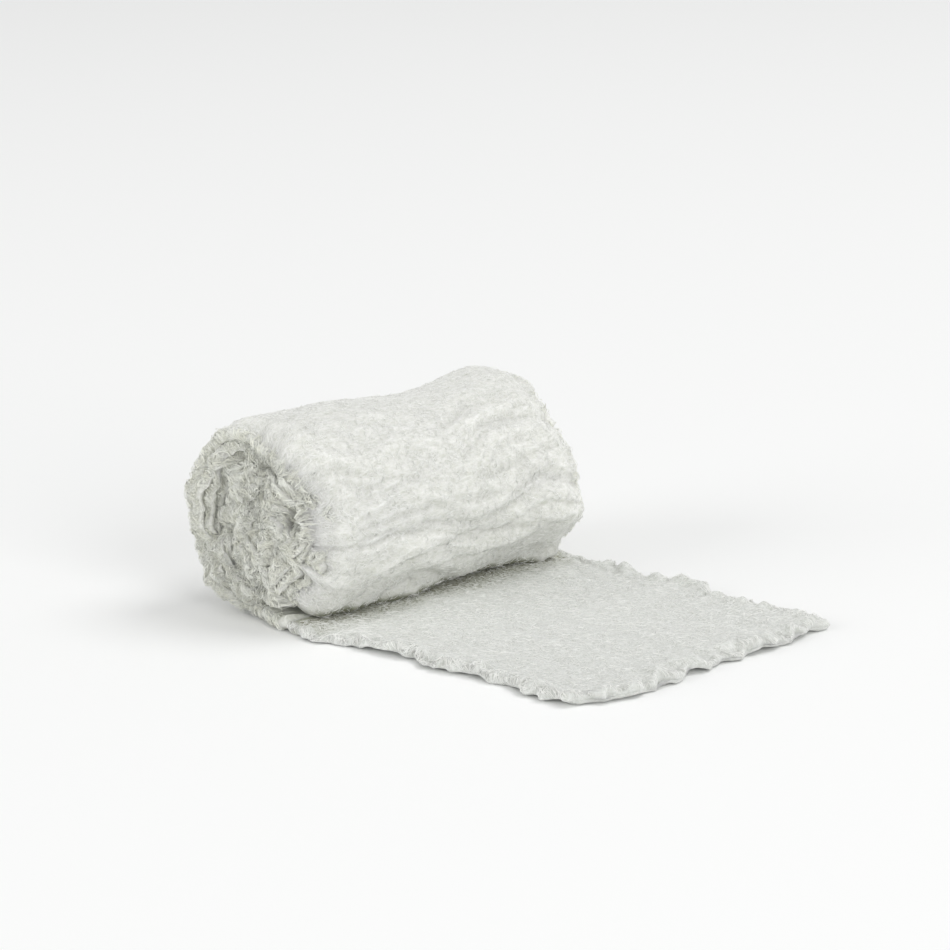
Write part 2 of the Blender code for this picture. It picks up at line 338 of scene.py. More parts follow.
def rimForm(turn, side, column):
    # what a column of the table of rim forms adds at a place on the rim
    total = 0.0 * turn
    for form in rimForms:
        away = np.abs((turn - form[1] + 0.5) % 1 - 0.5)  # how far round the roll the place is from it
        total = total + form[column] * np.exp(-(away / form[2]) ** 2) * (side == form[0])
    return total


def bulgeOf(turn, y):
    # how far the roll's side stands out of an even spiral
    once = turn % 1
    share = np.clip((y - rollLow.y) / (rollHigh.y - rollLow.y), 0.08, 0.92)  # the rims get their own form
    even = rollForm["radius"] - rollForm["turnPitch"] * once
    side = np.where(y < rollMiddle, -1, 1)
    fromEnd = np.where(side < 0, y - rollLow.y, rollHigh.y - y)
    form = rimForm(turn, side, 4) * np.exp(-(np.maximum(fromEnd, 0) / 0.016) ** 2)
    sag = creases["sag"] * np.exp(-((turn - creases["sagTurn"]) / creases["sagWidth"]) ** 2)
    return readTable(sideTable, once, share) - even + form + sag


def foldRelief(turn, y):
    # a groove along each fold, and the cloth that puffs out above it
    around, width = onceAround * turn, folds["width"]
    stray = folds["stray"] * unevenness(lined(around, y), 0.010, 17)
    relief = 0.0 * turn
    for turnA, yA, turnB, yB, depth in folds["lines"]:
        start = onceAround * turnA
        rise, run = onceAround * (turnB - turnA), yB - yA
        length = math.hypot(rise, run)
        along = ((around - start) * rise + (y - yA) * run) / length
        above = -((around - start) * run - (y - yA) * rise) / length + stray
        within = smoothStep(-0.004, 0.008, along) * smoothStep(length + 0.004, length - 0.008, along)
        puff = 0.7 * np.exp(-((above - 2.4 * width) / (1.7 * width)) ** 2)
        relief = relief + depth * within * (puff - np.exp(-(above / width) ** 2))
    return relief


def sideRelief(turn, y):
    # the outer turn's creases, which run along the roll, and the crinkle between them
    around = onceAround * turn
    drift = creases["drift"] * unevenness(lined(around, y), 0.030, 11)
    place = lined(around + drift, y)
    lower = smoothStep(0.55, 0.80, turn)  # the creases are deeper down the front
    relief = creases["broad"] * unevenness(place, (0.0075, 0.045, 1), 12) * (0.4 + 1.6 * lower)
    folded = np.abs(unevenness(place, (0.0042, 0.028, 1), 13))
    relief += creases["middle"] * (0.4 - np.minimum(folded, 0.9)) * (0.45 + 1.5 * lower)
    relief += creases["lumps"] * unevenness(place, (0.0055, 0.0075, 1), 16)
    relief += creases["fine"] * unevenness(place, (0.0018, 0.0045, 1), 14)
    relief += creases["crumb"] * unevenness(lined(around, y), (0.0011, 0.0019, 1), 15)
    relief += foldRelief(turn, y)
    return relief * smoothStep(0, 0.10, turn) * smoothStep(1.0, 0.95, turn)


def calmOf(turn):
    # how much of the edges' straying and frill a turn has
    return edges["outerCalm"] + (1 - edges["outerCalm"]) * smoothStep(0.8, 1.6, turn)


def lipShare(turn, side):
    # how much of the curl there is at a turn of an end
    start, whole, fades, gone = edges["lipTurns"]
    return smoothStep(start, whole, turn) * smoothStep(gone, fades, turn) * (side < 0)


def lipSizes(turn):
    # how far in the lip curls, and how much of the cloth's width goes round it
    front = smoothStep(0.60, 0.76, turn)
    return [edges[key] * (1 + more * front) for key, more in zip(("lipDrop", "lipCloth"), edges["lipMore"])]


def edgeOf(turn, side):
    # how far from y = 0 a turn's edge is
    middle = outsideOf(turn) - thicknessOf(turn) / 2
    share = np.clip(middle / rollForm["radius"], 0, edges["readTo"])
    form = readTable(endTables[side], turn % 1, share) + rimForm(turn, side, 3) * share ** 3
    place = lined(lengthTo(turn), turn, side)
    stray = edges["lumps"] * unevenness(fromAxis(turn, side, middle), 0.0065, 20)
    stray += edges["wander"] * unevenness(place, (0.008, 1.1, 1), 21)
    stray += edges["ruffle"] * unevenness(place, (0.0030, 1.1, 1), 24)
    # the turns that the lip covers end behind it
    steep = math.radians(edges["lipDegrees"])
    drop = lipSizes(turn % 1)[0] * (1 - math.cos(steep))
    within = outsideOf(turn) - outsideOf(turn % 1) + drop  # how far out it is from the lip's own edge
    under = np.clip(within / drop, 0, 1)
    level = 1 - (1 - under) * (1 - math.cos(steep))
    covered = edges["lipReach"] * (math.sin(steep) - np.sqrt(1 - level ** 2))
    covered = covered + edges["lipCover"] * (0.45 + 0.55 * under)
    form = form - lipShare(turn % 1, side) * (turn > 1) * covered * smoothStep(-0.002, 0, within)
    # the outer turn starts between the loose end's edges, under the roll
    start = abs(float(sideEdge(looseLow.x, side))) - form
    joined = smoothStep(edges["shiftTurn"], 0, turn)
    # the lip's own edge is measured before it curls in
    spent = lipSizes(turn)[1] - edges["lipReach"] * math.sin(steep)
    form = form + spent * lipShare(turn, side)
    return form + start * joined + stray * calmOf(turn) * (1 - joined)


def halfOf(turn, side, wrap):
    # half of the strip's thickness, which grows towards its edges but not in the lip
    tuft = unevenness(lined(lengthTo(turn), turn, side), (0.006, 1.1, 1), 31)
    puff = edges["evenPuff"] + edges["puff"] * tuft
    back = smoothStep(0.10, 0.20, turn % 1) * smoothStep(0.58, 0.48, turn % 1) * smoothStep(1.05, 1.20, turn)
    puff = np.maximum(puff, edges["leastPuff"]) + edges["backPuff"] * back
    puff = 1 + puff * smoothStep(0.008, 0.003, np.abs(wrap))
    thinning = edges["lipThinning"] * lipShare(turn, side) * smoothStep(0.011, 0.004, np.abs(wrap))
    return 0.5 * np.minimum(thicknessOf(turn) * puff * (1 - thinning), 0.95 * outsideOf(turn))


def stripPlace(turn, side, wrap, lift=0.0):
    # a point of the wound strip. wrap is the distance from the middle of the strip's rounded edge, minus
    # over its outer face and plus over its inner one; lift stands off the cloth
    turn, side, wrap = np.broadcast_arrays(turn, side, wrap)
    base, half, lip = outsideOf(turn), halfOf(turn, side, wrap), lipShare(turn, side)
    bend = np.clip(wrap / half, -np.pi / 2, np.pi / 2)
    inwards = np.maximum(np.abs(wrap) - half * np.pi / 2, 0)
    edge = np.where(side < 0, edgeOf(turn, -1), edgeOf(turn, 1))
    middle = side * rollMiddle  # in the same sense as the edge's distance
    length = edge - half - middle
    flat = rollForm["halfWidth"] - half * np.pi / 2
    rounded = 1 - (1 - edges["roundness"]) * smoothStep(0.9, 1.3, turn)
    out = middle + length * (1 - np.clip(inwards / flat, 0, 1)) + half * (1 + rounded * (np.cos(bend) - 1))
    lipDrop, lipCloth = lipSizes(turn)
    curl = np.clip(1 - inwards / lipCloth, 0, 1)
    turned = math.radians(edges["lipDegrees"]) * curl
    out += lip * (edges["lipReach"] * np.sin(turned) - lipCloth * curl)
    y = side * (out + lift * np.cos(bend))
    near = np.exp(-inwards / edges["reach"])
    level = fromAxis(turn, y, base)
    drift = unevenness(level * (1, 0, 1) + lined(0, side), 0.010, 33)
    drift = drift + 0.5 * unevenness(level * (1, 0, 1), 0.005, 34)
    share = np.clip(base / rollForm["radius"], 0, 1)
    rimDrop = edges["rimDrop"] * smoothStep(0.007, 0, inwards) * smoothStep(0, edges["shiftTurn"], turn)
    rimDrop = rimDrop + lipDrop * lip * (1 - np.cos(turned))
    radius = base + (bulgeOf(turn, y) - rimDrop) * share ** 2
    radius += edges["drift"] * drift * np.sin(np.pi * share) ** 1.5 * near
    frill = unevenness(lined(lengthTo(turn), turn, side), (0.0030, 1.1, 1), 35)
    frill = edges["frill"] * thicknessOf(turn) * frill
    radius += frill * near * (calmOf(turn) + 0.25 * (turn < 0.45))
    radius += sideRelief(turn, y) * np.clip(-np.sin(bend), 0, 1) * (turn < 1)
    radius += -half * (1 + np.sin(bend)) - lift * np.sin(bend)
    place = fromAxis(turn, y, np.maximum(radius, 0.0003))
    place[..., 2] = np.maximum(place[..., 2], 0.00015)
    return place


# sheets of cloth

def finished(name, mesh):
    data = bpy.data.meshes.new(name)
    mesh.to_mesh(data)
    mesh.free()
    return shown(name, data)


def shown(name, data):
    data.shade_smooth()
    piece = bpy.data.objects.new(name, data)
    bpy.context.scene.collection.objects.link(piece)
    return piece


def wrappedSheet(name, columns, ring, placeOf, paintedDepthOf, shadeOf, runOf):
    # a closed sheet: a grid whose rows go once round the strip's section, and whose columns run along it.
    # For the finish, the second function gives painted light deep between the turns and painted shade next to
    # the roll, the third painted shade along the line under the roll's front and on the strip's start under
    # it, and runOf how far along the cloth it is
    mesh = bmesh.new()
    bmesh.ops.create_grid(mesh, x_segments=len(columns) - 1, y_segments=len(ring), size=1)
    flat = np.array([vert.co[:2] for vert in mesh.verts])
    i = np.round((flat[:, 0] + 1) / 2 * (len(columns) - 1)).astype(int)
    j = np.round((flat[:, 1] + 1) / 2 * len(ring)).astype(int) % len(ring)
    along, side, wrap = np.asarray(columns)[i], ring[j, 0], ring[j, 1]
    # the first layer holds painted light between the turns and painted shade next to the roll, the second
    # painted shade under the roll's front
    depth = mesh.verts.layers.float.new("depth")
    shade = mesh.verts.layers.float.new("shade")
    onCloth = mesh.verts.layers.float_vector.new("onCloth")
    values = [of(along, side, wrap) for of in (placeOf, paintedDepthOf, shadeOf)]
    for vert, place, paintedDeep, dim, run, end, across in zip(mesh.verts, *values, runOf(along), side, wrap):
        vert.co = place
        vert[depth] = paintedDeep
        vert[shade] = dim
        vert[onCloth] = (run, across, 0.01 * end)
    bmesh.ops.remove_doubles(mesh, verts=mesh.verts, dist=1e-7)
    rims = [edge for edge in mesh.edges if edge.is_boundary]
    bmesh.ops.holes_fill(mesh, edges=rims, sides=0)
    bmesh.ops.recalc_face_normals(mesh, faces=mesh.faces)
    return finished(name, mesh)


def ringOf(half, faceStep, backSteps, crowding=2):
    # (side, wrap) once round the strip's section, from the middle of its outer face. The steps over the
    # inner face crowd towards the edges
    edge, edgeStep = rollForm["edgeWrap"], 0.00045
    outer = np.linspace(-half, -edge, max(2, round((half - edge) / faceStep)))
    around = np.arange(-edge + edgeStep, edge, edgeStep)
    inner = edge + (half - edge) * np.linspace(0, 1, backSteps) ** crowding
    one = np.concatenate([outer, around, inner])
    near = np.stack([np.full(len(one), -1), one], axis=1)
    far = np.stack([np.full(len(one), 1), one], axis=1)[::-1]
    return np.concatenate([near[:-1], far[:-1]])


# how finely the wound strip is divided: along it, over its outer face and over its inner face
outerSheet = {"columns": 280, "faceStep": 0.00074, "backSteps": 6}
innerSheet = {"step": 0.00085, "faceStep": 0.014, "backSteps": 4}


def stripCreviceLight(turn, side, wrap):
    # painted light between the turns: none on the outer turn's own face and its start, and everywhere else,
    # less near its edges
    inwards = np.maximum(np.abs(wrap) - rollForm["edgeWrap"], 0)
    paintedDeep = np.where((turn < 1) & (wrap < 0), 0, 0.35 + 0.65 * smoothStep(0, 0.004, inwards))
    return paintedDeep * smoothStep(0.04, 0.10, turn)


def stripShade(turn, side, wrap):
    # the line where the outer turn comes down to the loose end, and the strip's start under the roll
    start = 0.954 + 0.003 * unevenness(lined(side * wrap), 0.004, 53)
    fromEdge = smoothStep(np.where(side < 0, 0.010, 0.003), np.where(side < 0, 0.018, 0.006), -wrap)
    line = smoothStep(start, start + 0.012, turn) * smoothStep(1.05, 1.0, turn) * fromEdge
    return line + 0.40 * smoothStep(0.07, 0.02, turn) * smoothStep(-0.002, 0.003, wrap)


def woundSheet(name, columns, form):
    ring = ringOf(rollForm["halfWidth"], form["faceStep"], form["backSteps"])
    return wrappedSheet(name, columns, ring, stripPlace, stripCreviceLight, stripShade, lengthTo)


def makeOuterTurn():
    return woundSheet("outerTurn", np.linspace(0, 1, outerSheet["columns"]), outerSheet)


def makeInnerTurns():
    # steps of an even length along the spiral
    fine = np.linspace(1, turnCount, 4000)
    length = lengthTo(fine) - lengthTo(1)
    count = round(length[-1] / innerSheet["step"])
    columns = np.interp(np.linspace(0, length[-1], count), length, fine)
    print("  inner turns:", round(length[-1], 3), "m of strip")
    return woundSheet("innerTurns", columns, innerSheet), length[-1]


# the loose end's faces

def plainPlace(along, across, inset):
    # a place over the sheet in plan, from shares of its length and width
    nominal = looseMiddle + across * looseHalf
    x = looseLow.x + along * (freeEdge(nominal) - inset - looseLow.x)
    near, far = sideEdge(x, -1) + inset, sideEdge(x, 1) - inset
    return x, near + (across + 1) / 2 * (far - near)


def readLoose(above):
    # the height of the loose end's top or underside, over shares of its length and width
    reach, facing = 0.02, 1 if above else -1
    shares = np.linspace(0, 1, reading["loosePlaces"])
    along, across = np.meshgrid(shares, shares, indexing="ij")
    x, y = plainPlace(along, 2 * across - 1, looseForm["inset"])
    starts = np.stack([x, y, np.full_like(x, facing * reach)], axis=-1)
    return soften(facing * (reach - castTable("loose_end", starts, (0, 0, -facing))), 1)


topTable, underTable = readLoose(True), readLoose(False)


def loosePlace(along, side, wrap, lift=0.0):
    # a point of the loose end. along is 0 at the roll, 1 where the free edge starts to round over, and 2
    # at its very edge; wrap is as in the roll's turns, with the top as the face that it starts on
    along, side, wrap = np.broadcast_arrays(along, side, wrap)
    flatAlong, over = np.minimum(along, 1), np.maximum(along - 1, 0) * np.pi / 2
    fromFree = (1 - flatAlong) * looseLength
    edgeWrap = looseForm["edgeWrap"]
    guess = np.clip(1 - (np.abs(wrap) - edgeWrap) / (looseHalf - edgeWrap), 0, 1)
    share = (side * guess + 1) / 2
    top, under = readTable(topTable, flatAlong, share), readTable(underTable, flatAlong, share)
    joining = smoothStep(looseForm["joined"], 0, flatAlong)
    top = top + joining * np.maximum(thicknessOf(0) * 0.94 - top, 0)
    roughX, roughY = plainPlace(flatAlong, side * guess, 0.0018)
    rough = lined(roughX, roughY)
    fromEdge = np.minimum(np.maximum(np.abs(wrap) - edgeWrap, 0), fromFree)
    edgeShare = (1 - smoothStep(0, looseForm["edgeBand"], fromEdge)) * smoothStep(0, 0.06, flatAlong)
    swell = 1 + looseForm["edgeSwell"] * unevenness(rough, 0.0034, 45) * edgeShare
    half = 0.5 * np.maximum(top - under, 0.0012) * swell
    bend = np.clip(wrap / half, -np.pi / 2, np.pi / 2)
    inwards = np.maximum(np.abs(wrap) - half * np.pi / 2, 0)
    across = side * (1 - np.clip(inwards / (looseHalf - half * np.pi / 2), 0, 1))
    x, y = plainPlace(flatAlong, across, half)
    y = y + side * half * np.cos(bend)
    x = x + half * np.sin(over)
    offRoll = smoothStep(0, 0.08, flatAlong)
    scallop = looseForm["scallop"] * unevenness(rough, 0.0050, 41) * offRoll
    scallop = scallop + looseForm["smallScallop"] * unevenness(rough, 0.0026, 47)
    y = y + side * scallop * (1 - smoothStep(0, 0.005, inwards))
    x = x + scallop * (1 - smoothStep(0, 0.005, fromFree))
    relief = looseForm["edgePuff"] * (unevenness(lined(x, y), 0.0050, 42) + 0.5) * edgeShare
    relief += looseForm["felt"] * unevenness(lined(x, y), 0.0020, 43)
    relief += looseForm["crumb"] * unevenness(lined(x, y), 0.0011, 44)
    raised = looseForm["edgeLift"] * np.where(side < 0, 1, looseForm["farCalm"])
    raised = raised * np.maximum(unevenness(rough, 0.0050, 46), -0.2) * edgeShare
    thin = np.cos(over) * 0.92 + 0.08
    z = (top + under) / 2 + raised - half * np.sin(bend) * thin
    z = z + np.where(wrap < 0, relief * offRoll, 0) * np.clip(-np.sin(bend), 0, 1) * thin
    z = np.maximum(z - lift * np.sin(bend), 0.0001)
    x = x - z * math.tan(seamAngle) * smoothStep(0.08, 0, flatAlong)  # it meets the leaning outer turn
    return np.stack([x, y + side * lift * np.cos(bend), z], axis=-1)


def looseWeaveShade(along, side, wrap):
    # the open weave next to the roll, where the roll's shade is painted on the loose end
    return smoothStep(0.17, 0.04, along) * (wrap < -0.004)


def looseShade(along, side, wrap):
    # the line under the roll's front, weaker at the very edge
    edge = smoothStep(0.04, 0.02, along) * 0.5
    return np.where(wrap < -0.003, smoothStep(0.075, 0.03, along), edge)


def looseRun(along):
    return along * looseLength


def makeLooseEnd():
    # six more columns go round its free edge
    columns = np.concatenate([np.linspace(0, 1, looseForm["columns"]), 1 + np.linspace(0, 1, 7)[1:]])
    ring = ringOf(looseHalf, looseForm["faceStep"], looseForm["backSteps"], crowding=1)
    return wrappedSheet("looseEnd", columns, ring, loosePlace, looseWeaveShade, looseShade, looseRun)


# yarns

# each kind's own values stand before its function: how high its yarns stand, how many of them do, how high
# the others lie, and how thick they are against this radius
yarnForm = {
    "radius": 0.00013,
    "lengths": (0.6, 1.5),  # against each kind's own length
    "crimpPitch": (0.0013, 0.0024),
    "lowest": 0.0003,  # over the surface that the roll lies on
    "sunk": 0.00004,  # how deep their ends are in the cloth
    "loopSunk": 0.00002,
}


def yarnMesh(name, paths, dice, form):
    # three-sided closed tubes along paths, an array of (yarn, point, x y z), as one mesh
    count, steps = paths.shape[:2]
    radius = yarnForm["radius"] * dice.uniform(*form["widths"], count)
    ahead = np.gradient(paths, axis=1)
    ahead /= np.maximum(np.linalg.norm(ahead, axis=-1, keepdims=True), 1e-9)
    beside = np.cross(ahead, (0.31, 0.23, 0.92))
    beside /= np.maximum(np.linalg.norm(beside, axis=-1, keepdims=True), 1e-9)
    up = np.cross(beside, ahead)
    paths[..., 2] = np.maximum(paths[..., 2], yarnForm["lowest"])
    taper = np.sin(np.pi * (0.12 + 0.76 * np.arange(steps) / (steps - 1)))[None, :, None]
    thickness = taper * radius.reshape(-1, 1, 1)
    rings = []
    for turned in (90, 210, 330):
        angle = math.radians(turned)
        rings.append(paths + thickness * (math.cos(angle) * beside + math.sin(angle) * up))
    places = np.stack(rings, axis=2).reshape(-1, 3)
    first = (np.arange(count)[:, None, None] * steps + np.arange(steps - 1)[None, :, None]) * 3
    k = np.arange(3)[None, None, :]
    quads = np.stack([first + 3 + k, first + 3 + (k + 1) % 3, first + (k + 1) % 3, first + k], axis=-1)
    starts = np.arange(count)[:, None] * steps * 3
    caps = np.concatenate([starts + (0, 1, 2), starts + (steps - 1) * 3 + (2, 1, 0)])
    data = bpy.data.meshes.new(name)
    data.vertices.add(len(places))
    data.vertices.foreach_set("co", places.ravel())
    data.loops.add(quads.size + caps.size)
    data.loops.foreach_set("vertex_index", np.concatenate([quads.ravel(), caps.ravel()]))
    sizes = np.concatenate([np.full(quads.size // 4, 4), np.full(len(caps), 3)])
    data.polygons.add(len(sizes))
    data.polygons.foreach_set("loop_start", np.concatenate([[0], np.cumsum(sizes)[:-1]]))
    data.update(calc_edges=True)
    return shown(name, data)


def crimped(dice, count, points, length, crimp, lean):
    # courses of crimped yarns on flat cloth, about their middles, and how high each point bows
    run = np.linspace(-0.5, 0.5, points)[None, :] * length[:, None]
    phase = dice.uniform(0, 2 * np.pi, (count, 1))
    pitch = dice.uniform(*yarnForm["crimpPitch"], (count, 1))
    aside = crimp * np.sin(2 * np.pi * run / pitch + phase) + 0.3 * crimp * dice.normal(size=run.shape)
    bow = 1 - (2 * run / length[:, None]) ** 2
    cos, sin = np.cos(lean)[:, None], np.sin(lean)[:, None]
    return run * cos - aside * sin, run * sin + aside * cos, bow


def riseOf(dice, count, form):
    # most yarns lie low, and some stand off the cloth
    standing = dice.random(count) < form["standing"]
    return np.where(standing, dice.uniform(*form["heights"], count), form["lying"])[:, None]


sideYarns = {
    "weft": 4200,
    "warp": 4000,
    "length": 0.0024,
    "crimp": 0.00034,
    "lying": 0.00008,
    "standing": 0.06,
    "heights": (0.0002, 0.0006),
    "widths": (0.6, 1.25),
}


def makeSideYarns(name, count, pattern, leaning):
    # yarns that lie on the outer turn, and a few that stand off it in loops
    dice = np.random.default_rng(pattern)
    turn = dice.uniform(0.10, 0.985, count)
    side = dice.choice((-1.0, 1.0), count)[:, None]
    wrap = -dice.uniform(0.0012, rollForm["halfWidth"], count)
    length = sideYarns["length"] * dice.uniform(*yarnForm["lengths"], count)
    combed = 0.55 * unevenness(lined(turn * 0.21, side[:, 0] * wrap), 0.011, 51) + dice.normal(0, 0.28, count)
    along, around, bow = crimped(dice, count, 5, length, sideYarns["crimp"], leaning + combed)
    turns = turn[:, None] + around / onceAround
    rise = riseOf(dice, count, sideYarns)
    wraps = np.clip(wrap[:, None] + side * along, -rollForm["halfWidth"], -0.0006)
    path = stripPlace(turns, side, wraps, -yarnForm["sunk"] + bow * rise)
    return yarnMesh(name, path, dice, sideYarns)


flatYarns = {
    "count": 4700,
    "length": 0.0026,
    "crimp": 0.00028,
    "lying": 0.00005,
    "standing": 0.04,
    "heights": (0.0003, 0.0007),
    "widths": (0.6, 1.2),
}


def makeLooseYarns():
    # yarns on the loose end, along it and across it
    dice = np.random.default_rng(6)
    count = flatYarns["count"]
    along = dice.uniform(0.015, 0.985, count)
    side = dice.choice((-1.0, 1.0), count)
    wrap = -dice.uniform(0.0022, looseHalf - 0.002, count)
    length = flatYarns["length"] * dice.uniform(*yarnForm["lengths"], count)
    lean = dice.choice((0, np.pi / 2), count) + dice.normal(0, 0.6, count)
    forward, across, bow = crimped(dice, count, 4, length, flatYarns["crimp"], lean)
    rise = riseOf(dice, count, flatYarns)
    share = along[:, None] + forward / looseLength
    wraps = np.clip(wrap[:, None] + across, -looseHalf, -0.0015)
    path = loosePlace(share, side[:, None], wraps, -yarnForm["sunk"] + bow * rise)
    return yarnMesh("looseEndYarns", path, dice, flatYarns)


looseLoopForm = {
    "sides": 850,
    "free": 200,
    "nearShare": 0.7,  # how many of those on its sides are on the near one
    "lying": 0.00014,
    "standing": 0.3,
    "heights": (0.0003, 0.0007),
    "widths": (0.6, 1.4),
}


def makeLooseLoops():
    # loops along the loose end's sides, and a few over its free edge
    dice = np.random.default_rng(7)
    count, freeCount = looseLoopForm["sides"], looseLoopForm["free"]
    share = np.linspace(0, 1, 4)[None, :]
    along = dice.uniform(-0.01, 0.99, (count, 1))
    lean = 0.018 * unevenness(lined(along, 0), 0.05, 54) + dice.normal(0, 0.012, (count, 1))
    along = along + lean * share + dice.normal(0, 0.0016, (count, 4))
    side = np.where(dice.random((count, 1)) < looseLoopForm["nearShare"], -1.0, 1.0)
    wrap = -dice.uniform(0.0012, 0.0040, (count, 1)) * (1 - share)
    wrap = wrap + dice.uniform(-0.001, 0.0010, (count, 1)) * share
    freeAlong = 0.985 + dice.uniform(0.4, 0.95, (freeCount, 1)) * share
    freeSide = dice.choice((-1.0, 1.0), (freeCount, 1))
    freeWrap = -dice.uniform(0.003, looseHalf, (freeCount, 1)) + dice.normal(0, 0.0006, (freeCount, 1)) * share
    along, side = np.concatenate([along, freeAlong]), np.concatenate([side, freeSide])
    wrap = np.concatenate([wrap, np.clip(freeWrap, -looseHalf, -0.0015)])
    lift = -yarnForm["loopSunk"] + riseOf(dice, len(wrap), looseLoopForm) * np.sin(np.pi * share)
    return yarnMesh("looseEndLoops", loosePlace(np.maximum(along, 0), side, wrap, lift), dice, looseLoopForm)


loopForm = {
    "near": 4200,
    "far": 1900,
    "lying": 0.00016,
    "standing": 0.25,
    "heights": (0.0003, 0.0008),
    "widths": (0.6, 1.5),
}


def makeEdgeLoops(name, side, count):
    # the weft turns back at the strip's edges, so that each edge is a row of small loops
    dice = np.random.default_rng(8 + side)
    fine = np.linspace(0.02, turnCount - 0.05, 4000)
    length = lengthTo(fine)
    place = np.linspace(length[0], length[-1], count) + dice.normal(0, 0.00012, count)
    turn = np.interp(place, length, fine)
    bend = thicknessOf(turn) * np.pi / 4
    first = -bend * dice.uniform(0.5, 1.7, count)
    last = bend * dice.uniform(0.2, 1.1, count)
    share = np.linspace(0, 1, 5)[None, :]
    wrap = first[:, None] + share * (last - first)[:, None]
    leaning = 0.9 * unevenness(lined(place, turn), (0.006, 1.1, 1), 52) + dice.normal(0, 0.25, count)
    aside = leaning[:, None] * wrap + 0.0002 * np.sin(share * np.pi * 3 + dice.uniform(0, 6, (count, 1)))
    turns = np.clip(turn[:, None] + aside / (2 * np.pi * outsideOf(turn))[:, None], 0.0, turnCount)
    lift = -yarnForm["loopSunk"] + riseOf(dice, count, loopForm) * np.sin(np.pi * share)
    return yarnMesh(name, stripPlace(turns, side, wrap, lift), dice, loopForm)


fuzzForm = {
    "near": 5400,
    "far": 1600,
    "length": 0.0030,
    "crimp": 0.00040,
    "heights": (0.0003, 0.0010),
    "widths": (0.5, 0.9),
}


def makeEdgeFuzz(name, side, count):
    # fine stray yarns across the turns' edges
    dice = np.random.default_rng(12 + side)
    turn = turnCount - (turnCount - 0.02) * np.sqrt(dice.random(count))
    wrap = dice.normal(0, 0.6, count) * thicknessOf(turn)
    length = fuzzForm["length"] * dice.uniform(*yarnForm["lengths"], count)
    lean = np.pi / 2 * dice.integers(0, 2, count) + dice.normal(0, 0.6, count)
    across, around, bow = crimped(dice, count, 5, length, fuzzForm["crimp"], lean)
    turns = turn[:, None] + around / (2 * np.pi * np.maximum(outsideOf(turn), 0.003))[:, None]
    rise = dice.uniform(*fuzzForm["heights"], (count, 1))
    path = stripPlace(np.clip(turns, 0.0, turnCount), side, wrap[:, None] + across, bow * rise)
    return yarnMesh(name, path, dice, fuzzForm)


curlForm = {
    "near": 260,
    "far": 160,
    "sizes": (0.0006, 0.0011),
    "widths": (1.4, 2.1),
    "halfTurns": 1.7,  # how far each curls
}


def makeEdgeCurls(name, side, count):
    # thicker yarns that curl up on the turns' edges
    dice = np.random.default_rng(16 + side)
    turn = turnCount - (turnCount - 0.02) * np.sqrt(dice.random((count, 1)))
    size = dice.uniform(*curlForm["sizes"], (count, 1))
    share = np.linspace(0, 1, 8)[None, :]
    angle = dice.uniform(0, 2 * np.pi, (count, 1))
    angle = angle + dice.choice((-1, 1), (count, 1)) * share * np.pi * curlForm["halfTurns"]
    around, across = size * np.cos(angle), size * np.sin(angle)
    turns = turn + around / (2 * np.pi * np.maximum(outsideOf(turn), 0.003))
    wrap = dice.normal(0, 0.0003, (count, 1)) + across
    path = stripPlace(np.clip(turns, 0.0, turnCount), side, wrap, 0.0002 + 0.0005 * share)
    return yarnMesh(name, path, dice, curlForm)


# materials

class Wire:
    # a node's output that takes part in plain arithmetic
    def __init__(self, finish, socket):
        self.finish, self.socket = finish, socket

    def work(self, operation, *values):
        node = self.finish.add("ShaderNodeMath", {"operation": operation}, dict(enumerate(values)))
        return Wire(self.finish, node.outputs[0])

    def __add__(self, other):
        return self.work("ADD", self, other)

    def __sub__(self, other):
        return self.work("SUBTRACT", self, other)

    def __rsub__(self, other):
        return self.work("SUBTRACT", other, self)

    def __mul__(self, other):
        return self.work("MULTIPLY", self, other)

    __radd__ = __add__
    __rmul__ = __mul__

    def fromHalf(self):
        return self.work("ABSOLUTE", self - 0.5)

    def between(self, low, high):
        # 0 below low, 1 above high, and smooth from one to the other
        inputs = {"Value": self, "From Min": low, "From Max": high}
        node = self.finish.add("ShaderNodeMapRange", {"interpolation_type": "SMOOTHSTEP"}, inputs)
        return Wire(self.finish, node.outputs["Result"])


class Finish:
    # a material and its nodes
    def __init__(self, name):
        self.material = bpy.data.materials.new(name)
        self.material.use_nodes = True
        self.tree = self.material.node_tree
        self.shader = self.tree.nodes["Principled BSDF"]

    def add(self, kind, settings=None, inputs=None):
        node = self.tree.nodes.new(kind)
        for key, value in (settings or {}).items():
            setattr(node, key, value)
        for key, value in (inputs or {}).items():
            self.put(node.inputs[key], value)
        return node

    def put(self, socket, value):
        if isinstance(value, Wire):
            self.tree.links.new(value.socket, socket)
        elif isinstance(value, bpy.types.NodeSocket):
            self.tree.links.new(value, socket)
        else:
            socket.default_value = value

    def noise(self, scale, detail=2.0, roughness=0.5, stretch=(1, 1, 1), spot=None):
        spot = spot or self.add("ShaderNodeTexCoord").outputs["Object"]
        spot = self.add("ShaderNodeMapping", None, {"Vector": spot, "Scale": stretch}).outputs[0]
        inputs = {"Vector": spot, "Scale": scale, "Detail": detail, "Roughness": roughness}
        return Wire(self, self.add("ShaderNodeTexNoise", None, inputs).outputs["Fac"])

    def strands(self, scale, stretch):
        # thin wandering lines over the cloth, 1 on them and 0 between them
        spot = self.add("ShaderNodeAttribute", {"attribute_name": "onCloth"}).outputs["Vector"]
        return 1 - self.noise(scale, 2, 0.5, stretch, spot).fromHalf().between(0.0, 0.06)

    def attribute(self, name):
        return Wire(self, self.add("ShaderNodeAttribute", {"attribute_name": name}).outputs["Fac"])

    def blend(self, share, first, second):
        # the first colour where the share is 0, the second where it is 1
        inputs = {0: share, 6: (*first, 1) if isinstance(first, tuple) else first}
        inputs[7] = (*second, 1) if isinstance(second, tuple) else second
        return self.add("ShaderNodeMix", {"data_type": "RGBA"}, inputs).outputs[2]


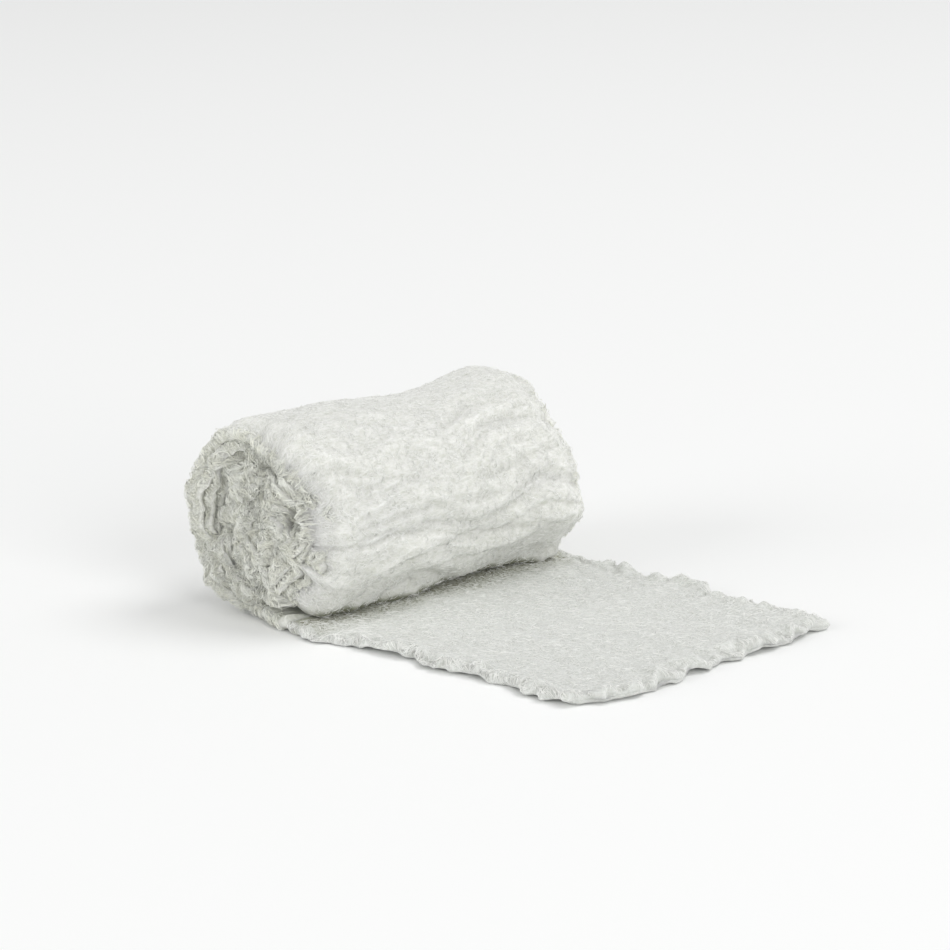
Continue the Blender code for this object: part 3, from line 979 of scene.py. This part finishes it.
rollLook = {
    "white": (0.745, 0.75, 0.715),
    "gap": (0.645, 0.655, 0.60),  # between the yarns
    "paintedDeep": (0.875, 0.88, 0.765),  # painted light between the turns: lighter than the cloth, and warm like the shade there
    "strand": (0.92, 0.92, 0.89),
    "shade": (0.20, 0.21, 0.14),  # where the outer turn comes down to the loose end
    "softness": 0.9,  # how much light goes through the cloth, and how far
    "softReach": 0.0050,
    "bump": 0.30,
}
looseLook = {
    "white": (0.64, 0.655, 0.625),
    "gap": (0.54, 0.553, 0.515),
    "strand": (0.84, 0.85, 0.82),
    "thin": (0.38, 0.385, 0.30),  # painted shade next to the roll, where the weave opens
    # the weave's holes next to the roll, dark with painted shade
    "pore": (0.22, 0.22, 0.15),
    "softness": 0.75,
    "softReach": 0.0040,
    "bump": 0.35,
}
yarnLook = {
    "white": (0.93, 0.935, 0.91),
    "shade": (0.84, 0.845, 0.81),
    # a warmer copy for the yarns on the roll's ends, whose warm tint is painted shade, like the painted light
    # between the turns
    "paintedWarmWhite": (0.93, 0.94, 0.885),
    "paintedWarmShade": (0.86, 0.865, 0.78),
}


def finishCloth(finish, colour, mottle, relief, look):
    bump = {"Strength": look["bump"], "Distance": 0.0004, "Height": relief}
    values = {
        "Base Color": colour,
        "Roughness": 0.84 + mottle * 0.14,
        "Normal": finish.add("ShaderNodeBump", None, bump).outputs[0],
        "Subsurface Weight": look["softness"],
        "Subsurface Radius": (1.0, 1.0, 1.0),
        "Subsurface Scale": look["softReach"],
        "Specular IOR Level": 0.2,
        "Sheen Weight": 0.15,
        "Sheen Roughness": 0.5,
    }
    for key, value in values.items():
        finish.put(finish.shader.inputs[key], value)
    return finish.material


def mottledWhite(finish, mottle, fibres, look):
    weave = (fibres * 0.75 + mottle * 0.25).between(0.36, 0.62)
    return finish.blend(weave, look["gap"], look["white"])


def fineRelief(finish, fibres, strands):
    return fibres * 0.4 + finish.noise(2600, 1, 0.5) * 0.3 + strands * 0.5


def rollGauze():
    # fibres run along the roll, and light is painted between its turns, lighter and warmer than the cloth
    finish = Finish("rollGauze")
    mottle = finish.noise(420, 3, 0.6)
    fibres = finish.noise(1500, 2, 0.6, (1, 0.35, 1))
    strands = finish.strands(520, (1, 0.3, 1)) * 0.7 + finish.strands(700, (0.8, 0.6, 1)) * 0.5
    colour = mottledWhite(finish, mottle, fibres, rollLook)
    # painted light between the turns, lighter and warmer than the cloth, where shade falls
    colour = finish.blend(finish.attribute("depth") * 0.8, colour, rollLook["paintedDeep"])
    colour = finish.blend(strands * 0.52, colour, rollLook["strand"])
    colour = finish.blend(finish.attribute("shade"), colour, rollLook["shade"])
    return finishCloth(finish, colour, mottle, fineRelief(finish, fibres, strands), rollLook)


def looseGauze():
    # a felted face, with small holes between the yarns next to the roll, where shade is painted
    finish = Finish("looseGauze")
    mottle = finish.noise(420, 3, 0.6)
    fibres = finish.noise(1300, 2, 0.6)
    colour = mottledWhite(finish, mottle, fibres, looseLook)
    openWeaveShade = finish.attribute("depth")
    # the weave's holes next to the roll, dark with painted shade
    pores = (finish.noise(1000, 1, 0.5) + openWeaveShade * 0.12).between(0.60, 0.70) * openWeaveShade
    strands = finish.strands(600, (0.6, 1, 1)) * 0.6 + finish.strands(600, (1, 0.6, 1)) * 0.6
    colour = finish.blend(strands * 0.6, colour, looseLook["strand"])
    # painted shade next to the roll, where the weave opens
    colour = finish.blend(openWeaveShade * 0.35, colour, looseLook["thin"])
    # painted shade along the line under the roll's front
    colour = finish.blend(finish.attribute("shade") * 0.8, colour, looseLook["thin"])
    colour = finish.blend(pores, colour, looseLook["pore"])
    return finishCloth(finish, colour, mottle, fineRelief(finish, fibres, strands), looseLook)


def yarnGauze(name, white, shade):
    finish = Finish(name)
    mottle = finish.noise(300, 2, 0.5)
    colour = finish.blend(mottle.between(0.3, 0.7), shade, white)
    look = {"bump": 0.1, "softness": 0, "softReach": 0.001}  # so thin that any softness would darken them
    return finishCloth(finish, colour, mottle, finish.noise(4000, 1, 0.5), look)


# the pieces

print("making the cloth")
outerTurn = makeOuterTurn()
innerTurns, innerLength = makeInnerTurns()
looseEnd = makeLooseEnd()
print("making the yarns")
weftYarns = makeSideYarns("weftYarns", sideYarns["weft"], 5, -0.4)
warpYarns = makeSideYarns("warpYarns", sideYarns["warp"], 4, 1.3)
looseYarns = makeLooseYarns()
looseLoops = makeLooseLoops()
edgeYarns = [
    makeEdgeLoops("nearEdgeLoops", -1, loopForm["near"]),
    makeEdgeLoops("farEdgeLoops", 1, loopForm["far"]),
    makeEdgeFuzz("nearEdgeFuzz", -1, fuzzForm["near"]),
    makeEdgeFuzz("farEdgeFuzz", 1, fuzzForm["far"]),
    makeEdgeCurls("nearEdgeCurls", -1, curlForm["near"]),
    makeEdgeCurls("farEdgeCurls", 1, curlForm["far"]),
]

print("finishing")
rollCloth, looseCloth = rollGauze(), looseGauze()
yarnCloth = yarnGauze("yarnGauze", yarnLook["white"], yarnLook["shade"])
# the ends' yarns get a warmer copy of the yarn gauze, whose warm tint is painted shade
paintedWarmYarnCloth = yarnGauze("yarnGauzePaintedWarm", yarnLook["paintedWarmWhite"], yarnLook["paintedWarmShade"])
pieces = (
    (outerTurn, rollCloth, "roll_gauze"),
    (innerTurns, rollCloth, "roll_gauze"),
    (looseEnd, looseCloth, "loose_gauze"),
    (weftYarns, yarnCloth, "roll_gauze"),
    (warpYarns, yarnCloth, "roll_gauze"),
    *((piece, paintedWarmYarnCloth, "roll_gauze") for piece in edgeYarns),
    (looseYarns, yarnCloth, "loose_gauze"),
    (looseLoops, yarnCloth, "loose_gauze"),
)
for piece, material, slot in pieces:
    piece.data.materials.append(material)
    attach(piece, "root")
    piece.data.calc_loop_triangles()
    print("  ", piece.name, len(piece.data.loop_triangles), "triangles")
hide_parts("wound_roll")
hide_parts("wound_roll")
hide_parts("loose_end")

# camera, floor and light

view = {
    "azimuth": 44,
    "elevation": 14.5,
    "pixelsPerMetre": 3280,  # at the aim
    "focalPixels": 3400,  # the focal length
    "aim": (-0.04137, -0.05343, 0),
    "aimPixel": (286, 628),
    "frame": 950,
    "sensor": 36,
}


def makeCamera():
    turned, raised = math.radians(view["azimuth"]), math.radians(view["elevation"])
    right = Vector((math.cos(turned), math.sin(turned), 0))
    level = Vector((-math.sin(turned), math.cos(turned), 0))
    forward = math.cos(raised) * level - math.sin(raised) * Vector((0, 0, 1))
    up = math.sin(raised) * level + math.cos(raised) * Vector((0, 0, 1))
    away = view["focalPixels"] / view["pixelsPerMetre"]
    aside = (view["aimPixel"][0] - view["frame"] / 2) / view["focalPixels"]
    above = (view["frame"] / 2 - view["aimPixel"][1]) / view["focalPixels"]
    camera = bpy.data.objects.new("camera", bpy.data.cameras.new("camera"))
    camera.data.sensor_width = view["sensor"]
    camera.data.lens = view["sensor"] * view["focalPixels"] / view["frame"]
    camera.data.clip_start = 0.01
    place = Vector(view["aim"]) - away * (forward + aside * right + above * up)
    camera.matrix_world = Matrix.Translation(place) @ Matrix((right, up, -forward)).transposed().to_4x4()
    bpy.context.scene.collection.objects.link(camera)
    bpy.context.scene.camera = camera


studio = {
    "floor": (0.96, 0.965, 0.96),
    "floorRadius": 9,
    "ambient": 0.50,
    "away": 5.0,  # how far off the lamps are
}
# soft lamps: the direction that each shines from, its power in watts and its size
lamps = (
    ("key", (0.30, 0.40, 0.86), 86, 3.2),
    ("side", (0.90, -0.20, 0.38), 91, 3.0),
    ("fill", (-0.30, -0.90, 0.30), 86, 3.5),
)


def makeStudio():
    mesh = bmesh.new()
    bmesh.ops.create_circle(mesh, cap_ends=True, segments=64, radius=studio["floorRadius"])
    floor = finished("floor", mesh)
    finish = Finish("floorPaper")
    paper = {"Base Color": (*studio["floor"], 1), "Roughness": 0.9, "Specular IOR Level": 0.1}
    for key, value in paper.items():
        finish.put(finish.shader.inputs[key], value)
    floor.data.materials.append(finish.material)
    for name, direction, power, size in lamps:
        lamp = bpy.data.lights.new(name, "AREA")
        lamp.shape, lamp.size, lamp.energy = "DISK", size, power
        direction = Vector(direction).normalized()
        light = bpy.data.objects.new(name, lamp)
        turned = direction.to_track_quat("Z", "Y").to_matrix().to_4x4()
        light.matrix_world = Matrix.Translation(studio["away"] * direction) @ turned
        bpy.context.scene.collection.objects.link(light)
    world = bpy.data.worlds.new("studio")
    world.use_nodes = True
    background = world.node_tree.nodes["Background"].inputs
    background["Color"].default_value = (1, 1, 1, 1)
    background["Strength"].default_value = studio["ambient"]
    bpy.context.scene.world = world
    bpy.context.scene.view_settings.view_transform = "Standard"


print("making the studio")
makeCamera()
makeStudio()
